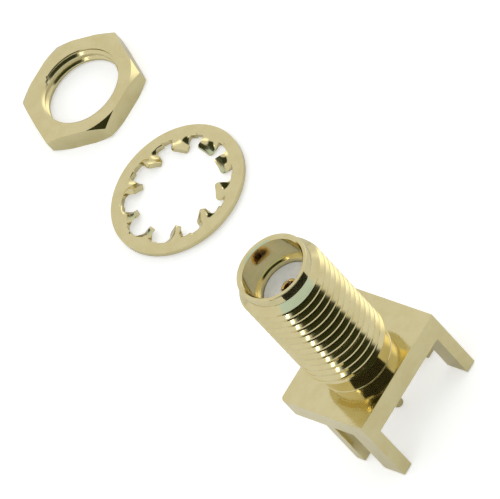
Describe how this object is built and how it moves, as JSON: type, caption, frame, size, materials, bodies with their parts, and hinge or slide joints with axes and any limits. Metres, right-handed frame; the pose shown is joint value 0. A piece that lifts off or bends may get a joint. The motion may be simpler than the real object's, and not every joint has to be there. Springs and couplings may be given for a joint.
{
  "type": "sma connector",
  "caption": "Gold-plated coaxial board-edge jack with a threaded barrel, a square flange and four legs, with its hex nut and lock washer lying beside it.",
  "frame": {"origin": "on the axis of the solder pin and the barrel, at the underside of the flange, where the edge of the board meets it", "axes": "+Z along the barrel towards its open mouth; +Y away from the face that the two deep front legs are flush with; the nut and the washer lie on the +Y side"},
  "size_m": [0.0235, 0.0487, 0.0183],
  "materials": {
    "gold_body": "turned and milled brass with thin gold plating, semi-bright",
    "ptfe": "white PTFE, turned, matte",
    "gold_contact": "beryllium copper with bright gold plating",
    "gold_nut": "turned brass with thin gold plating, semi-bright",
    "gold_washer": "stamped bronze sheet with thin gold plating, semi-bright"
  },
  "bodies": {
    "root": {"body": "gold_body", "insulator": "ptfe", "contact": "gold_contact", "hex_nut": "gold_nut", "lock_washer": "gold_washer"}
  },
  "joints": []
}
